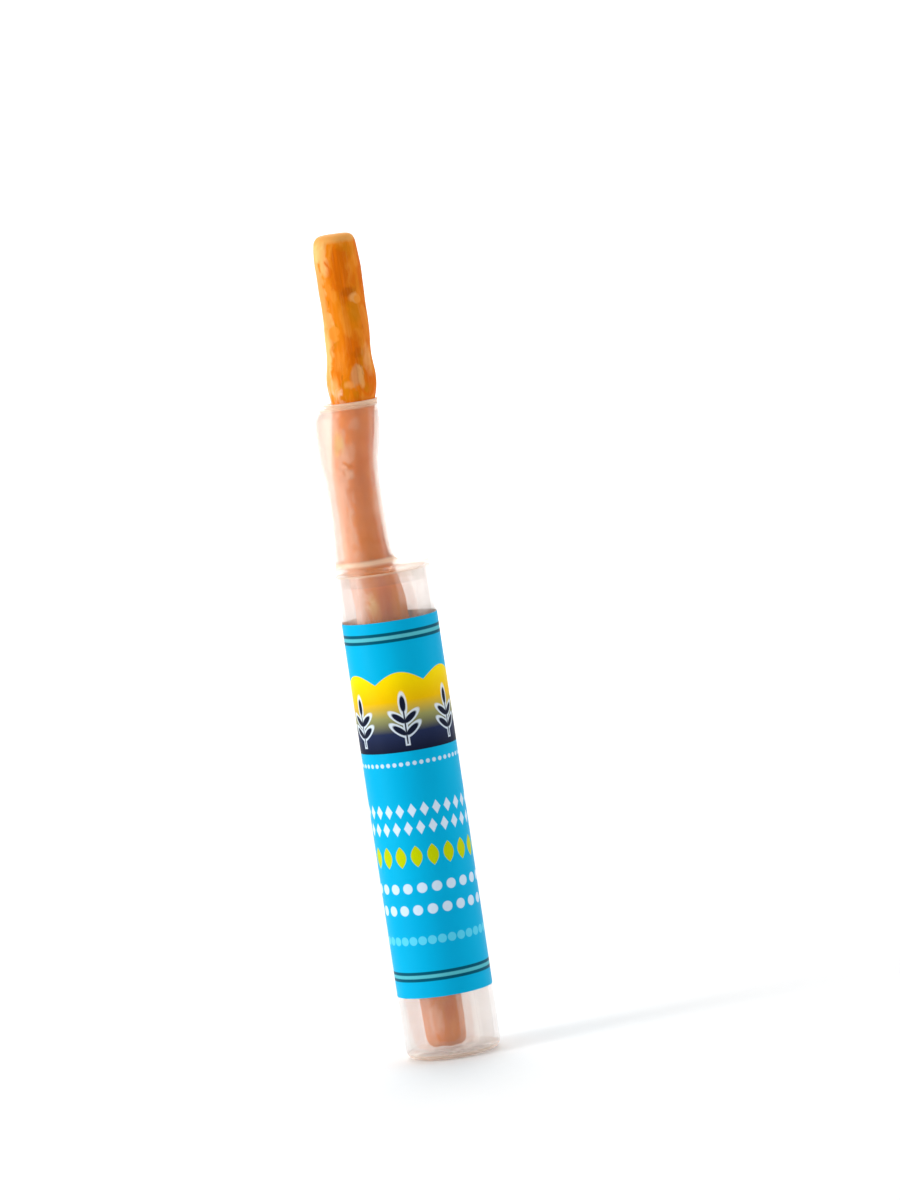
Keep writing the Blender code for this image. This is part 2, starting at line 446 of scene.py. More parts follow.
@dataclass(frozen=True)
class ClearPlastic:
    """Thin clear plastic with a faint milky haze and fine handling scuffs.

    The body is how much of each surface isn't simply passed through, and the clearness is how
    much of that bends light as glass does. Each painted highlight is an opaque pale ring, with a
    height and a half-height, laid where a moulded edge would catch the light. The thinner wall
    below a height is clearer by a share, and both change over the fade. The bending is the index
    of refraction, which is lower where a thin even wall hardly bends light, and a shine of 0.5 is
    plain. Lengths are in metres.
    """

    name: str
    haze: Tone
    body: float
    clearness: float
    roughness: float
    # The painted highlight rings: the height and half-height of each.
    edges: tuple[Pair, ...]
    painted_highlight_share: float = 0.55
    clearer_below: float = 0.0
    clearer_share: float = 0.65
    fade: float = 0.0005
    bending: float = 1.49
    shine: float = 0.5

    def material(self) -> Material:
        """Builds the plastic's nodes.

        Returns:
            The material.
        """
        paint = Paint(self.name, self.haze)
        place = paint.place()
        scuffs = paint.noise(place, 900.0, 4.0, warp=0.8, upright=0.25)
        flow = paint.noise(place, 130.0, 2.0, warp=0.6)
        paint.bump(flow, depth=0.0002, strength=0.15)
        height = paint.split(place)[2]
        painted_highlight: Number = 0.0
        # Painted highlight: opaque pale rings where the moulded edges would catch the light.
        for middle, half in self.edges:
            painted_highlight = abs(height + (flow - 0.5) * (0.8 * self.fade) - middle).below(half, self.fade) + painted_highlight
        paint.cover(painted_highlight * self.painted_highlight_share, Tone.PLASTIC_EDGE, roughness=0.30)
        clearer = height.below(self.clearer_below, 0.6 * self.fade) * self.clearer_share
        body = (flow.above(0.5, 0.6) * (self.body * 0.2) + self.body * 0.9) * (1 - clearer)
        paint.lay(flow.above(0.5, 0.5) * 0.5, Tone.PLASTIC_CLEAR)
        return paint.finish(
            roughness=scuffs.above(0.60, 0.2) * 0.04 + self.roughness,
            alpha=body,
            transmission_weight=self.clearness,
            ior=self.bending,
            specular_ior_level=self.shine,
        )


class Motif(Enum):
    """The shapes that are printed in rows."""

    DOT = "dot"
    LOZENGE = "lozenge"
    LEAF = "leaf"


@dataclass(frozen=True)
class PrintRow:
    """A row of like motifs round the label.

    Its depth below the label's top edge, and the height and width of a motif, are in
    millimetres. The offset says how far the row is turned, in motifs.
    """

    motif: Motif
    depth: float
    height: float
    width: float
    count: int
    tone: Tone
    share: float = 1.0
    offset: float = 0.0


@dataclass(frozen=True)
class PrintedFilm:
    """Glossy film with a plain generic print: stripes, a scalloped band with sprigs, and rows of motifs.

    The length is the way round the tube without the lap, and the sheet's length is with it. The
    radius of the plain back and the thickness are in metres, and all the rest is in millimetres,
    with depths below the top edge. The leaf holds half its length and half its width, and the
    stem half its width and its height. Each leaf lies so far out and so high above the foot, and
    is lifted by so many degrees.
    """

    length: float
    sheet_length: float
    sheet_height: float
    radius: float
    thickness: float
    stripe_depths: tuple[float, ...] = (2.70, 4.15, 75.70, 77.12)
    stripe_half: float = 0.34
    band_top: float = 11.0
    band_scallop: float = 2.3
    band_bottom: float = 28.0
    band_tones: tuple[tuple[float, Tone], ...] = (
        (0.0, Tone.INK_YELLOW),
        (0.36, Tone.INK_AMBER),
        (0.56, Tone.INK_OLIVE),
        (0.76, Tone.INK_NAVY),
        (1.0, Tone.INK_NAVY_DEEP),
    )
    sprigs: int = 6
    sprig_foot: float = 1.6
    leaf: Pair = (1.75, 0.62)
    leaves: tuple[Point, ...] = ((1.35, 3.0, 38.0), (1.25, 5.6, 38.0), (0.0, 8.6, 90.0))
    stem: Pair = (0.17, 7.4)
    outline: float = 0.34
    ink_edge: float = 0.16
    rows: tuple[PrintRow, ...] = (
        PrintRow(Motif.DOT, 30.6, 0.9, 0.9, 44, Tone.INK_WHITE, 0.8),
        PrintRow(Motif.LOZENGE, 40.6, 3.0, 1.9, 24, Tone.INK_WHITE, 0.9),
        PrintRow(Motif.LOZENGE, 44.4, 3.0, 1.9, 24, Tone.INK_WHITE, 0.9, 0.5),
        PrintRow(Motif.LEAF, 50.5, 4.6, 2.5, 18, Tone.INK_GREEN, 1.0),
        PrintRow(Motif.DOT, 57.3, 2.2, 2.2, 20, Tone.INK_WHITE, 0.85),
        PrintRow(Motif.DOT, 62.0, 2.2, 2.2, 20, Tone.INK_WHITE, 0.85, 0.5),
        PrintRow(Motif.DOT, 68.6, 1.9, 1.9, 30, Tone.INK_ICE, 0.8),
    )

    def material(self) -> Material:
        """Builds the film's nodes.

        Returns:
            The material.
        """
        paint = Paint("printed film", Tone.FILM_CYAN_DEEP)
        place = paint.place()
        across, up, _ = paint.split(paint.place("UV"))
        around = (across - 0.5) * self.sheet_length
        depth = (1 - up) * self.sheet_height
        clouds = paint.noise(place, 45.0, 2.0)
        paint.lay(clouds.above(0.5, 0.5), Tone.FILM_CYAN)
        self._band(paint, around, depth)
        self._stripes(paint, depth)
        for row in self.rows:
            paint.lay(self._row(around, depth, row) * row.share, row.tone)
        x, y, _ = paint.split(place)
        back = x.across(y).below(self.radius + self.thickness / 2, self.thickness / 4)
        paint.lay(back, Tone.FILM_BACK)
        grain = paint.noise(place, 2600.0, 2.0)
        paint.bump(clouds * 0.7 + grain * 0.06, depth=0.0002, strength=0.35)
        return paint.finish(roughness=0.34 + grain * 0.10, specular_ior_level=0.03)

    def _stripes(self, paint: Paint, depth: Value) -> None:
        """Draws the dark double lines, with a lighter line between each two.

        Args:
            paint: The film's paint.
            depth: The depth below the top edge.
        """
        for first, second in zip(self.stripe_depths[::2], self.stripe_depths[1::2]):
            between = abs(depth - (first + second) / 2).below((second - first) / 2, self.ink_edge)
            paint.lay(between, Tone.INK_TEAL_LIGHT)
            for line in (first, second):
                paint.lay(abs(depth - line).below(self.stripe_half, self.ink_edge), Tone.INK_TEAL)

    def _band(self, paint: Paint, around: Value, depth: Value) -> None:
        """Draws the band from yellow down to navy, its scalloped top edge and its sprigs.

        Args:
            paint: The film's paint.
            around: The way round the tube.
            depth: The depth below the top edge.
        """
        pitch = self.length / self.sprigs
        cell = ((around / pitch + 0.5).fraction() - 0.5) * pitch
        scallop = (cell * (math.pi / pitch)).math("COSINE") * self.band_scallop
        edge = self.band_top + self.band_scallop - scallop
        inside = depth.above(edge, self.ink_edge).both(depth.below(self.band_bottom, self.ink_edge))
        fall = (depth - self.band_top) / (self.band_bottom - self.band_top)
        paint.lay(inside, paint.ramp(fall, self.band_tones))
        sprig = self._sprig(cell, depth)
        outline = sprig.below(self.outline, self.ink_edge).both(inside)
        paint.lay(outline * 0.85, Tone.INK_WHITE)
        paint.lay(sprig.below(0.0, self.ink_edge).both(inside), Tone.INK_NAVY_DEEP)

    def _sprig(self, cell: Value, depth: Value) -> Value:
        """Draws a sprig of paired leaves on a stem.

        Args:
            cell: The way round the tube from the sprig's middle.
            depth: The depth below the top edge.

        Returns:
            How far each point lies outside the sprig.
        """
        foot = self.band_bottom - self.sprig_foot
        (half_length, half_width), (stem_half, stem_height) = self.leaf, self.stem
        side = abs(cell)
        nearest = (side - stem_half).either(depth - foot).either((foot - stem_height) - depth)
        for out, rise, lift in self.leaves:
            cosine, sine = math.cos(math.radians(lift)), math.sin(math.radians(lift))
            right = side - out
            higher = (foot - rise) - depth
            lengthways = (right * cosine + higher * sine) / half_length
            sideways = (higher * cosine - right * sine) / half_width
            nearest = nearest.both((lengthways.across(sideways) - 1.0) * half_width)
        return nearest

    def _row(self, around: Value, depth: Value, row: PrintRow) -> Value:
        """Draws one row of motifs.

        Args:
            around: The way round the tube.
            depth: The depth below the top edge.
            row: The row.

        Returns:
            Its mask, from 0 to 1.
        """
        pitch = self.length / row.count
        cell = ((around / pitch + row.offset).fraction() - 0.5) * pitch
        sideways = abs(cell) / (row.width / 2)
        upright = abs(depth - row.depth) / (row.height / 2)
        if row.motif is Motif.DOT:
            reach = sideways.across(upright)
        elif row.motif is Motif.LOZENGE:
            reach = sideways + upright
        else:
            reach = sideways + upright * upright
        return reach.below(1.0, self.ink_edge * 2 / row.width)


@dataclass(frozen=True)
class StudioPaper:
    """Seamless pale paper."""

    def material(self) -> Material:
        """Builds the paper's nodes.

        Returns:
            The material.
        """
        paint = Paint("studio paper", Tone.FLOOR)
        tooth = paint.noise(paint.place(), 400.0, 3.0)
        paint.bump(tooth, depth=0.0001, strength=0.2)
        paint.lay(tooth * 0.3, Tone.PAPER_SHADE)
        return paint.finish(roughness=0.92)


@dataclass(frozen=True)
class Ring:
    """One level ring of a lofted piece: its middle and its radius, in metres."""

    centre: Vector
    radius: float


def ring(x: float, radius: float, z: float) -> Ring:
    """A level ring about a point of the XZ plane."""
    return Ring(Vector((x, 0.0, z)), radius)


def deselect_all() -> None:
    """Leaves edit mode and deselects every object."""
    if bpy.context.mode != "OBJECT":
        bpy.ops.object.mode_set(mode="OBJECT")
    bpy.ops.object.select_all(action="DESELECT")


def work_on(piece: Piece) -> None:
    """Makes one object the only selected and active one."""
    deselect_all()
    piece.select_set(True)
    bpy.context.view_layer.objects.active = piece


def edit(piece: Piece, kind: str, wanted: Callable[[Any], bool]) -> None:
    """Opens an object in edit mode with some of its faces or edges selected.

    Args:
        piece: The object.
        kind: FACE or EDGE.
        wanted: Says of a face or an edge whether it is selected.
    """
    work_on(piece)
    bpy.ops.object.mode_set(mode="EDIT")
    bpy.ops.mesh.select_mode(type=kind)
    bpy.ops.mesh.select_all(action="DESELECT")
    shape = bmesh.from_edit_mesh(piece.data)
    for element in shape.faces if kind == "FACE" else shape.edges:
        element.select_set(wanted(element))
    bmesh.update_edit_mesh(piece.data)


def on_circle(corner: bmesh.types.BMVert, height: float, radius: float) -> bool:
    """Whether a corner lies on a level circle about the Z axis."""
    return abs(corner.co.z - height) < SAME_CIRCLE and abs(corner.co.xy.length - radius) < SAME_CIRCLE


def clamped(share: float) -> float:
    """A number kept between 0 and 1."""
    return min(max(share, 0.0), 1.0)


def weigh(piece: Piece, name: str, weight: Callable[[float], float]) -> None:
    """Weights every corner of a piece by its height.

    Args:
        piece: The object.
        name: The new vertex group's name.
        weight: Gives the weight at a height.
    """
    group = piece.vertex_groups.new(name=name)
    for corner in piece.data.vertices:
        group.add([corner.index], weight(corner.co.z), "REPLACE")


def apply_modifier(piece: Piece, name: str, kind: str, **settings: Any) -> None:
    """Adds one modifier and applies it.

    Args:
        piece: The object, which becomes the active one.
        name: The modifier's name.
        kind: Its type.
        settings: Its own settings.
    """
    work_on(piece)
    modifier = piece.modifiers.new(name, kind)
    for key, setting in settings.items():
        setattr(modifier, key, setting)
    bpy.ops.object.modifier_apply(modifier=modifier.name)


def fix_place(piece: Piece) -> None:
    """Puts the object's place in its mesh."""
    work_on(piece)
    bpy.ops.object.transform_apply(location=True, rotation=True, scale=True)


def settle(piece: Piece, crease: float = SOFT_CREASE) -> None:
    """Puts the object's place in its mesh, turns its faces outwards and smooths its shading.

    Args:
        piece: The object.
        crease: The angle, in degrees, from which an edge stays sharp.
    """
    fix_place(piece)
    bpy.ops.object.mode_set(mode="EDIT")
    bpy.ops.mesh.select_all(action="SELECT")
    bpy.ops.mesh.normals_make_consistent(inside=False)
    bpy.ops.object.mode_set(mode="OBJECT")
    bpy.ops.object.shade_smooth_by_angle(angle=math.radians(crease))


def hand_over(piece: Piece, node: str, material: Material) -> Piece:
    """Dresses a finished piece and lets it stand for its CAD node.

    Args:
        piece: The finished object.
        node: The CAD node that it replaces.
        material: Its finish.

    Returns:
        The piece.
    """
    piece.data.materials.clear()
    piece.data.materials.append(material)
    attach(piece, BODY)
    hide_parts(node)
    return piece


def loft(name: str, sides: int, rings: list[Ring], capped: bool) -> Piece:
    """Carries a ring from place to place in edit mode, which leaves a wall behind it.

    Args:
        name: The new object's name.
        sides: How many sides the ring has.
        rings: Its places, in order.
        capped: Whether it is a filled disc, which closes both ends. If it isn't, the last
            place is joined to the first.

    Returns:
        The new object.
    """
    deselect_all()
    at = rings[0]
    bpy.ops.mesh.primitive_circle_add(
        vertices=sides,
        radius=at.radius,
        fill_type="NGON" if capped else "NOTHING",
        location=at.centre,
    )
    piece = bpy.context.object
    piece.name = name
    piece.data.name = name
    bpy.ops.object.mode_set(mode="EDIT")
    bpy.ops.mesh.select_all(action="SELECT")
    for after in rings[1:]:
        step = after.centre - at.centre
        bpy.ops.mesh.extrude_region_move(TRANSFORM_OT_translate={"value": tuple(step)})
        ratio = after.radius / at.radius
        bpy.ops.transform.resize(value=(ratio, ratio, 1.0), center_override=tuple(after.centre))
        at = after
    if not capped:
        edit(piece, "EDGE", lambda edge: edge.is_boundary)
        bpy.ops.mesh.bridge_edge_loops()
    return piece


def node_levels(node: Piece) -> list[float]:
    """The heights at which a lofted CAD node has its rings, from the bottom up."""
    return sorted({round(corner.co.z, LEVEL_DIGITS) for corner in node.data.vertices})


def ring_at(node: Piece, level: float) -> Ring:
    """Reads the outermost ring of a lofted CAD node.

    Args:
        node: The node.
        level: The height of one of its rings.

    Returns:
        The ring.
    """
    corners = [corner.co for corner in node.data.vertices if abs(corner.co.z - level) < SAME_LEVEL]
    low_x, high_x = min(c.x for c in corners), max(c.x for c in corners)
    low_y, high_y = min(c.y for c in corners), max(c.y for c in corners)
    centre = Vector(((low_x + high_x) / 2, (low_y + high_y) / 2, level))
    return Ring(centre, (high_x - low_x + high_y - low_y) / 4)


@dataclass(frozen=True)
class Relief:
    """Small relief of the wood, from a texture that is drawn out along the stick.

    The size is that of its features across the grain, the depth is how far it moves the surface
    in all, both in metres, and the stretch is how much longer it is along the grain.
    """

    name: str
    texture: str
    size: float
    depth: float
    stretch: float
    noise_scale: float = 0.25

    def press(self, piece: Piece, group: str) -> None:
        """Pushes a surface in and out.

        Args:
            piece: The stick.
            group: The vertex group that says how freely each point moves.
        """
        texture = bpy.data.textures.new(self.name, self.texture)
        texture.noise_scale = self.noise_scale
        guide = bpy.data.objects.new(self.name, None)
        bpy.context.scene.collection.objects.link(guide)
        unit = self.size / self.noise_scale
        guide.scale = (unit, unit, unit * self.stretch)
        bpy.context.view_layer.update()
        apply_modifier(
            piece,
            self.name,
            "DISPLACE",
            texture=texture,
            texture_coords="OBJECT",
            texture_coords_object=guide,
            strength=self.depth,
            mid_level=0.5,
            vertex_group=group,
        )
        bpy.data.objects.remove(guide)
        bpy.data.textures.remove(texture)


@dataclass
class Stick:
    """The peeled stick, from its foot in the tube to its cut tip."""

    node: Piece
    rim: float
    sides: int = 40
    level_step: int = 2
    tip_levels: int = 4
    grip_bottom: float = 0.1010
    grip_top: float = 0.1432
    grip_fade: float = 0.0025
    grip_share: float = 0.25
    tip_height: float = 0.1770
    tip_fade: float = 0.0030
    reliefs: tuple[Relief, ...] = (
        Relief("Lumps", "CLOUDS", size=0.0042, depth=0.00026, stretch=2.2),
        Relief("Knife flats", "VORONOI", size=0.0030, depth=0.00030, stretch=3.5),
        Relief("Fibres", "CLOUDS", size=0.00042, depth=0.00009, stretch=14.0),
    )
    marks: tuple[Mark, ...] = (
        # Painted highlight of the lit left flank of the bare wood, which also stands for its pale knife
        # flats.
        Mark(0.164, -72, 0.015, 34, Tone.WOOD_PALE, 0.75, 0.3),
        Mark(0.15, -80, 0.01, 24, Tone.WOOD_STRAW, 0.45, 0.4),
        Mark(0.1742, -56, 0.003, 30, Tone.WOOD_STRAW, 0.55, 0.6),
        Mark(0.1711, -38, 0.0026, 18, Tone.WOOD_PALE, 0.95, 0.45),
        Mark(0.1738, 34, 0.0016, 24, Tone.WOOD_OLIVE, 0.4),
        Mark(0.1692, 3, 0.0058, 33, Tone.WOOD_CORE, 0.9, 0.5),
        Mark(0.1605, 28, 0.0026, 18, Tone.WOOD_OLIVE, 0.55),
        # Painted shadow streak.
        Mark(0.1652, 18, 0.0009, 18, Tone.WOOD_BRUISE, 0.55),
        Mark(0.1636, 34, 0.001, 13, Tone.WOOD_PALE, 0.7, 0.55),
        Mark(0.1633, 45, 0.0009, 13, Tone.WOOD_AMBER, 0.9, 0.45),
        Mark(0.1566, -38, 0.0015, 15, Tone.WOOD_AMBER, 0.95, 0.35),
        Mark(0.1548, 30, 0.0023, 22, Tone.WOOD_AMBER, 0.5, 0.3),
        Mark(0.1525, 6, 0.004, 22, Tone.WOOD_CORE, 0.95),
        # Painted shadow streak.
        Mark(0.1519, 28, 0.0009, 20, Tone.WOOD_BRUISE, 0.35),
        Mark(0.1508, -30, 0.0022, 18, Tone.WOOD_AMBER, 0.7),
        Mark(0.1505, 56, 0.003, 16, Tone.WOOD_PALE, 0.65),
        Mark(0.1452, -46, 0.0028, 14, Tone.WOOD_PALE, 0.8),
        Mark(0.147, 12, 0.0021, 19, Tone.WOOD_ROSE, 0.85, 0.45),
        Mark(0.1466, 25, 0.0022, 8, Tone.WOOD_PALE, 0.65, 0.5),
        Mark(0.1456, -6, 0.001, 12, Tone.WOOD_PALE, 0.55, 0.55),
        # Painted highlight of the lit left flank inside the holder, seen through the milky neck.
        Mark(0.118, -63, 0.024, 46, Tone.WOOD_SALMON, 0.9, 0.4),
        Mark(0.1, -58, 0.008, 36, Tone.WOOD_SALMON, 0.85, 0.35),
        Mark(0.1332, -50, 0.0026, 20, Tone.WOOD_STRAW, 0.95, 0.5),
        Mark(0.1309, -6, 0.0023, 12, Tone.WOOD_SALMON, 0.5, 0.5),
        # Painted highlight: the neck plastic's glint, painted onto the wood beneath it.
        Mark(0.1193, -27, 0.0026, 7, Tone.WOOD_SALMON, 0.95, 0.4),
        Mark(0.1372, 4, 0.0013, 13, Tone.WOOD_SALMON, 0.42, 0.5),
        Mark(0.103, -17, 0.0022, 16, Tone.WOOD, 0.8, 0.5),
        Mark(0.099, 17, 0.0045, 17, Tone.WOOD_CORE, 0.8, 0.5),
        Mark(0.0975, 46, 0.0035, 15, Tone.WOOD_AMBER, 0.6, 0.5),
        Mark(0.0976, -16, 0.0026, 10, Tone.WOOD_STRAW, 0.55, 0.5),
        Mark(0.008, -24, 0.004, 18, Tone.WOOD_SALMON, 0.6, 0.5),
        Mark(0.0105, 26, 0.003, 16, Tone.WOOD_CORE, 0.6, 0.5),
        Mark(0.127, 24, 0.006, 16, Tone.WOOD_CORE, 0.6, 0.6),
        Mark(0.114, 2, 0.005, 14, Tone.WOOD, 0.6, 0.6),
        # Painted shade on the right flank inside the holder.
        Mark(0.13, 80, 0.009, 42, Tone.WOOD_CORE, 0.8, 0.5),
        Mark(0.1195, 76, 0.0028, 30, Tone.WOOD_SALMON, 0.45, 0.5),
        # Painted shade on the right flank inside the holder.
        Mark(0.111, 75, 0.006, 38, Tone.WOOD_CORE, 0.8, 0.5),
        Mark(0.16, 148, 0.012, 30, Tone.WOOD_PALE, 0.65, 0.3),
        Mark(0.169, 184, 0.003, 18, Tone.WOOD_CORE, 0.85),
        Mark(0.157, 200, 0.0018, 16, Tone.WOOD_AMBER, 0.9),
        Mark(0.1515, 166, 0.002, 18, Tone.WOOD_ROSE, 0.9),
        Mark(0.1655, 110, 0.0012, 14, Tone.WOOD_AMBER, 0.9),
        Mark(0.154, 112, 0.0009, 16, Tone.WOOD_BRUISE, 0.7),
        Mark(0.113, 170, 0.022, 34, Tone.WOOD_SALMON, 0.6, 0.35),
    )

    def build(self) -> Piece:
        """Models the stick.

        Returns:
            The stick, dressed.
        """
        levels = node_levels(self.node)
        kept = levels[: -self.tip_levels : self.level_step] + levels[-self.tip_levels :]
        rings = [ring_at(self.node, level) for level in kept]
        piece = loft("Stick", self.sides, rings, capped=True)
        settle(piece)
        apply_modifier(piece, "Finer", "SUBSURF", levels=1, render_levels=1)
        apply_modifier(piece, "Knots", "SHRINKWRAP", target=self.node, wrap_method="NEAREST_SURFACEPOINT")
        apply_modifier(piece, "Soften", "SMOOTH", factor=0.5, iterations=2)
        weigh(piece, "tip", self._tip_weight)
        apply_modifier(piece, "Worn tip", "SMOOTH", factor=0.5, iterations=9, vertex_group="tip")
        apply_modifier(piece, "Fine", "SUBSURF", levels=1, render_levels=1)
        weigh(piece, "free wood", self._free_weight)
        for relief in self.reliefs:
            relief.press(piece, "free wood")
        settle(piece)
        self._note_outward(piece, rings)
        finish = PeeledWood(self.rim, levels[-1], self.marks)
        return hand_over(piece, self.node.name, finish.material())

    def _tip_weight(self, height: float) -> float:
        """How far a height is part of the cut tip, whose edge is worn round."""
        return clamped((height - self.tip_height + self.tip_fade) / self.tip_fade)

    def _free_weight(self, height: float) -> float:
        """How freely the surface swells: little in the holder's grip, and not at all at the tip.

        Args:
            height: The height above the ground.

        Returns:
            The weight, from 0 to 1.
        """
        below = (self.grip_bottom - height) / self.grip_fade
        above = (height - self.grip_top) / self.grip_fade
        share = min(max(below, above, self.grip_share), 1.0)
        return share * clamped((self.tip_height - height) / self.tip_fade)

    def _note_outward(self, piece: Piece, rings: list[Ring]) -> None:
        """Stores at each corner the level direction away from the stick's axis.

        Args:
            piece: The stick.
            rings: The rings whose middles make the axis.
        """
        heights = [r.centre.z for r in rings]
        note = piece.data.attributes.new(OUTWARD, "FLOAT_VECTOR", "POINT")
        for corner, entry in zip(piece.data.vertices, note.data):
            above = min(max(bisect_left(heights, corner.co.z), 1), len(rings) - 1)
            low, high = rings[above - 1].centre, rings[above].centre
            away = corner.co - low.lerp(high, clamped((corner.co.z - low.z) / (high.z - low.z)))
            away.z = 0.0
            entry.vector = away.normalized()


@dataclass
class Tube:
    """The clear tube: open at the top, with a flat floor and a rounded foot."""

    node: Piece
    wall: float = 0.0010
    floor: float = 0.0016
    foot_rounding: float = 0.0022
    well_rounding: float = 0.0014
    lip_rounding: float = 0.00030
    gate_radius: float = 0.0013
    gate_depth: float = 0.00025
    sides: int = 128
    crease: float = 40.0

    def build(self) -> Piece:
        """Models the tube.

        Returns:
            The tube, dressed.
        """
        low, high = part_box(self.node.name)
        radius, height = (high.x - low.x) / 2, high.z - low.z
        deselect_all()
        bpy.ops.mesh.primitive_cylinder_add(
            vertices=self.sides, radius=radius, depth=height, location=(0.0, 0.0, height / 2)
        )
        piece = bpy.context.object
        piece.name = "Tube"
        fix_place(piece)
        self._cut(piece, radius, height)
        settle(piece, self.crease)
        finish = ClearPlastic(
            "clear tube plastic",
            Tone.PLASTIC_CLEAR,
            body=0.36,
            clearness=0.76,
            roughness=0.18,
            # Painted highlights at the top rim and at the floor.
            edges=((height, 0.0004), (self.floor / 2, 0.0006)),
            painted_highlight_share=0.28,
        )
        return hand_over(piece, self.node.name, finish.material())

    def _cut(self, piece: Piece, radius: float, height: float) -> None:
        """Sinks the bore, rounds the edges and marks the moulding gate under the foot.

        Args:
            piece: The tube, solid at first.
            radius: Its outer radius.
            height: Its height.
        """
        edit(piece, "FACE", lambda face: face.normal.z > 0.9)
        bpy.ops.mesh.inset(thickness=self.wall, depth=0.0)
        sink = (0.0, 0.0, self.floor - height)
        bpy.ops.mesh.extrude_region_move(TRANSFORM_OT_translate={"value": sink})
        bore = radius - self.wall
        rims = (
            (0.0, radius, self.foot_rounding, 8),
            (self.floor, bore, self.well_rounding, 6),
            (height, radius, self.lip_rounding, 4),
            (height, bore, self.lip_rounding, 4),
        )
        for level, reach, rounding, segments in rims:
            edit(piece, "EDGE", lambda edge: all(on_circle(v, level, reach) for v in edge.verts))
            bpy.ops.mesh.bevel(offset=rounding, segments=segments, affect="EDGES")
        edit(piece, "FACE", lambda face: face.normal.z < -0.9999)
        bpy.ops.mesh.inset(thickness=radius - self.foot_rounding - self.gate_radius, depth=0.0)
        bpy.ops.mesh.inset(thickness=self.gate_depth, depth=-self.gate_depth)


@dataclass
class Collar:
    """The clear collar: a flange on the tube's mouth, a short spigot in it and the gripping neck."""

    node: Piece
    mouth: float
    mouth_radius: float
    sides: int = 36
    wall: float = 0.0005
    gap: float = 0.0003
    flange: float = 0.0011
    fillet: float = 0.0019
    edge: float = 0.0002
    spigot_inset: float = 0.0013
    spigot_wall: float = 0.0007
    bore_foot: Pair = (-0.0024, 0.00575)
    lip_hole: Pair = (-0.00085, 0.00498)
    lip_levels: int = 3
    lip_drop: float = 0.0003
    lip_depth: float = 0.0007
    # Painted highlights at the lip and at the fillet over the flange: an offset from each height, and a
    # half-height.
    lip_highlight: Pair = (-0.0004, 0.0009)
    foot_highlight: Pair = (0.0008, 0.0005)
    bore_drop: float = 0.0018
    crease: float = 50.0

    def build(self) -> Piece:
        """Models the collar.

        Returns:
            The collar, dressed.
        """
        levels = node_levels(self.node)
        flange_bottom = self.mouth + self.gap
        flange_top = flange_bottom + self.flange
        outside = [ring_at(self.node, z) for z in levels if z > flange_top - self.edge / 2]
        lip_top = outside[-1].centre.z
        neck = [r for r in outside if r.centre.z > outside[0].centre.z + self.fillet]
        last = neck[-self.lip_levels]
        rings = [
            *reversed(outside),
            *self._flange_and_spigot(levels[0], flange_bottom, flange_top),
            *(ring(r.centre.x, r.radius - self.wall, r.centre.z) for r in neck[: -self.lip_levels]),
            ring(last.centre.x, last.radius - self.wall, levels[-1] - self.bore_drop),
            ring(*self.lip_hole, lip_top - self.lip_drop - self.lip_depth),
            ring(*self.lip_hole, lip_top - self.lip_drop),
        ]
        piece = loft("Neck_collar", self.sides, rings, capped=False)
        settle(piece)
        apply_modifier(piece, "Finer", "SUBSURF", levels=2, render_levels=2)
        settle(piece, self.crease)
        finish = ClearPlastic(
            "milky neck plastic",
            Tone.PLASTIC,
            body=0.38,
            clearness=0.72,
            roughness=0.30,
            # Painted highlights at the lip and at the fillet over the flange.
            edges=(
                (lip_top + self.lip_highlight[0], self.lip_highlight[1]),
                (flange_top + self.foot_highlight[0], self.foot_highlight[1]),
            ),
            clearer_below=flange_bottom - 2 * self.edge,
            bending=1.22,
            shine=1.0,
        )
        return hand_over(piece, self.node.name, finish.material())

    def _flange_and_spigot(self, low: float, bottom: float, top: float) -> list[Ring]:
        """Takes the outline down the flange's edge, round the spigot and back to the bore's foot.

        Args:
            low: The height of the spigot's lower end.
            bottom: The height of the flange's underside.
            top: The height of the flange's upper face.

        Returns:
            The rings, in order.
        """
        radius, edge = self.mouth_radius, self.edge
        outer = radius - self.spigot_inset
        inner = outer - self.spigot_wall
        level_rings = (
            (radius, top - edge),
            (radius, bottom + edge),
            (radius - edge, bottom),
            (outer + edge / 2, bottom),
            (outer, bottom - edge / 2),
            (outer, low + edge),
            (outer - edge, low),
            (inner + edge / 4, low),
            (inner, low + edge),
            (inner, bottom - edge),
        )
        return [
            *(ring(0.0, reach, z) for reach, z in level_rings),
            ring(self.bore_foot[0] / 4, inner - edge, bottom),
            ring(*self.bore_foot, bottom),
        ]


